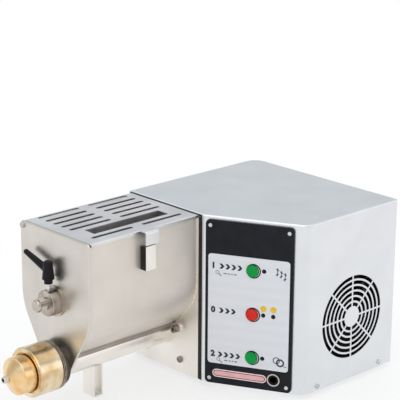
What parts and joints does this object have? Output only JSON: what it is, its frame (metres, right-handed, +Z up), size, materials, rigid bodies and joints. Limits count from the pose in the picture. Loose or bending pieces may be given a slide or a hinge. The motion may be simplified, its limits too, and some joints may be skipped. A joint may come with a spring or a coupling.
{
  "type": "electric pasta maker",
  "caption": "Electric pasta maker: lidded mixing tank over an auger barrel with a brass nozzle, on a steel drive housing with a slanted control panel and air grille.",
  "frame": {"origin": "middle of the machine's box in plan, on the surface that it stands on", "axes": "+X from the nozzle to the back of the drive housing, +Y from the grille side to the far side, +Z up"},
  "size_m": [0.628, 0.3294, 0.288],
  "materials": {
    "stainless_cover": "fine satin stainless sheet, cool grey",
    "stainless_tank": "satin food-grade stainless sheet, slightly warm",
    "stainless_lid": "brushed stainless sheet, cool grey",
    "stainless_plate": "bright rolled stainless plate, slightly warm",
    "polished_steel": "turned and polished stainless",
    "turned_steel": "turned steel",
    "gear_steel": "oiled cut gear steel",
    "fastener_steel": "bright zinc-plated screws",
    "frame_aluminium": "milled aluminium plate",
    "fan_plastic": "black moulded glass-filled plastic",
    "nut_brass": "turned brass, dulled",
    "die_bronze": "turned bronze",
    "insert_steel": "turned stainless insert",
    "food_seal": "food-grade rubber, off-white",
    "rubber_black": "black rubber",
    "panel_black": "black satin plate",
    "label_film": "printed polyester film, light silver grey",
    "button_green": "moulded green cap",
    "button_red": "moulded red cap",
    "lens_smoke": "smoke-tinted indicator lens",
    "lever_black": "black moulded lever",
    "socket_black": "black moulded socket",
    "gland_grey": "black nylon gland",
    "board_green": "solder-masked board",
    "motor_grey": "die-cast aluminium shell",
    "core_laminated": "stacked electrical steel",
    "capacitor_can": "drawn aluminium can",
    "terminal_plastic": "natural moulded plastic",
    "magnet_steel": "nickel-plated magnet",
    "sensor_black": "moulded sensor body, black"
  },
  "bodies": {
    "base": {"base_tray": "stainless_cover", "rubber_feet": "rubber_black", "housing_screws": "fastener_steel", "front_frame": "frame_aluminium", "mount_plate": "stainless_plate", "front_bolts": "fastener_steel", "shaft_seals": "food_seal", "housing_cover": "stainless_cover", "gear_plate": "frame_aluminium", "gear_spacers": "frame_aluminium", "shaft_bearings": "turned_steel", "motor_casing": "motor_grey", "motor_stator": "core_laminated", "fan_frame": "fan_plastic", "fan_bracket": "stainless_cover", "capacitor": "capacitor_can", "terminal_block": "terminal_plastic", "cable_gland": "gland_grey", "control_panel": "panel_black", "panel_label": "label_film", "panel_screws": "fastener_steel", "button_switches": "socket_black", "led_lenses": "lens_smoke", "socket_ring": "polished_steel", "socket_body": "socket_black", "control_board": "board_green", "tank_trough": "stainless_tank", "tank_end_plate": "stainless_tank", "barrel_tube": "stainless_tank", "barrel_flange": "stainless_tank", "barrel_collar": "turned_steel", "die_seal": "food_seal", "leg_strap": "stainless_tank", "bearing_boss": "turned_steel", "interlock_channel": "stainless_tank", "interlock_sensor": "sensor_black", "lid_hinge_rod": "polished_steel", "lever_stud": "fastener_steel"},
    "lid": {"tank_lid": "stainless_lid", "lid_magnet": "magnet_steel"},
    "mixer": {"mixer_shaft": "turned_steel", "mixer_paddles": "turned_steel", "mixer_gear": "gear_steel"},
    "auger": {"auger_screw": "turned_steel", "auger_gear": "gear_steel"},
    "reduction": {"reduction_shaft": "gear_steel", "reduction_pinion": "gear_steel", "reduction_gear": "gear_steel"},
    "motor": {"motor_shaft": "gear_steel", "motor_rotor": "core_laminated", "motor_pinion": "gear_steel"},
    "fan": {"fan_rotor": "fan_plastic"},
    "die": {"die_body": "die_bronze", "die_insert": "insert_steel"},
    "nut": {"ring_nut": "nut_brass"},
    "pin": {"pull_knob": "polished_steel"},
    "lever": {"lever_handle": "lever_black"},
    "button_mix": {"mix_button": "button_green"},
    "button_stop": {"stop_button": "button_red"},
    "button_extrude": {"extrude_button": "button_green"}
  },
  "joints": [
    {"name": "mixer_spin", "type": "hinge", "parent": "base", "child": "mixer", "pos_m": [0.008, 0.079, 0.176], "axis": [1, 0, 0], "continuous": true},
    {"name": "auger_spin", "type": "hinge", "parent": "base", "child": "auger", "pos_m": [0.008, 0.079, 0.074], "axis": [1, 0, 0], "continuous": true},
    {"name": "reduction_spin", "type": "hinge", "parent": "base", "child": "reduction", "pos_m": [0.008, 0.00727, 0.18224], "axis": [1, 0, 0], "continuous": true},
    {"name": "motor_spin", "type": "hinge", "parent": "base", "child": "motor", "pos_m": [0.008, 0.017, 0.12], "axis": [1, 0, 0], "continuous": true},
    {"name": "fan_spin", "type": "hinge", "parent": "base", "child": "fan", "pos_m": [0.195, -0.1598, 0.1135], "axis": [0, 1, 0], "continuous": true},
    {"name": "lid_hinge", "type": "hinge", "parent": "base", "child": "lid", "pos_m": [-0.1007, 0.1555, 0.2788], "axis": [-1, 0, 0], "range_deg": [0, 105]},
    {"name": "clamp_lever_turn", "type": "hinge", "parent": "base", "child": "lever", "pos_m": [-0.2244, 0.079, 0.2072], "axis": [0, 0, 1], "range_deg": [0, 150]},
    {"name": "pull_pin_slide", "type": "slide", "parent": "base", "child": "pin", "axis": [-1, 0, 0], "range_m": [0, 0.0195]},
    {"name": "die_slide", "type": "slide", "parent": "base", "child": "die", "axis": [-1, 0, 0], "range_m": [0, 0.012]},
    {"name": "ring_nut_turn", "type": "hinge", "parent": "die", "child": "nut", "pos_m": [-0.271, 0.079, 0.074], "axis": [-1, 0, 0], "range_deg": [0, 1440]},
    {"name": "mix_button_press", "type": "slide", "parent": "base", "child": "button_mix", "axis": [0.8814, 0.4723, 0], "range_m": [0, 0.0025], "stiffness_N_per_m": 800, "springref_m": -0.001},
    {"name": "stop_button_press", "type": "slide", "parent": "base", "child": "button_stop", "axis": [0.8814, 0.4723, 0], "range_m": [0, 0.0025], "stiffness_N_per_m": 800, "springref_m": -0.001},
    {"name": "extrude_button_press", "type": "slide", "parent": "base", "child": "button_extrude", "axis": [0.8814, 0.4723, 0], "range_m": [0, 0.0025], "stiffness_N_per_m": 800, "springref_m": -0.001}
  ],
  "couplings": [
    {"joint": "auger_spin", "follows": "mixer_spin", "ratio": -1.125},
    {"joint": "reduction_spin", "follows": "mixer_spin", "ratio": -3},
    {"joint": "motor_spin", "follows": "mixer_spin", "ratio": 18},
    {"joint": "die_slide", "follows": "ring_nut_turn", "m_per_rad": 0.00047746}
  ]
}
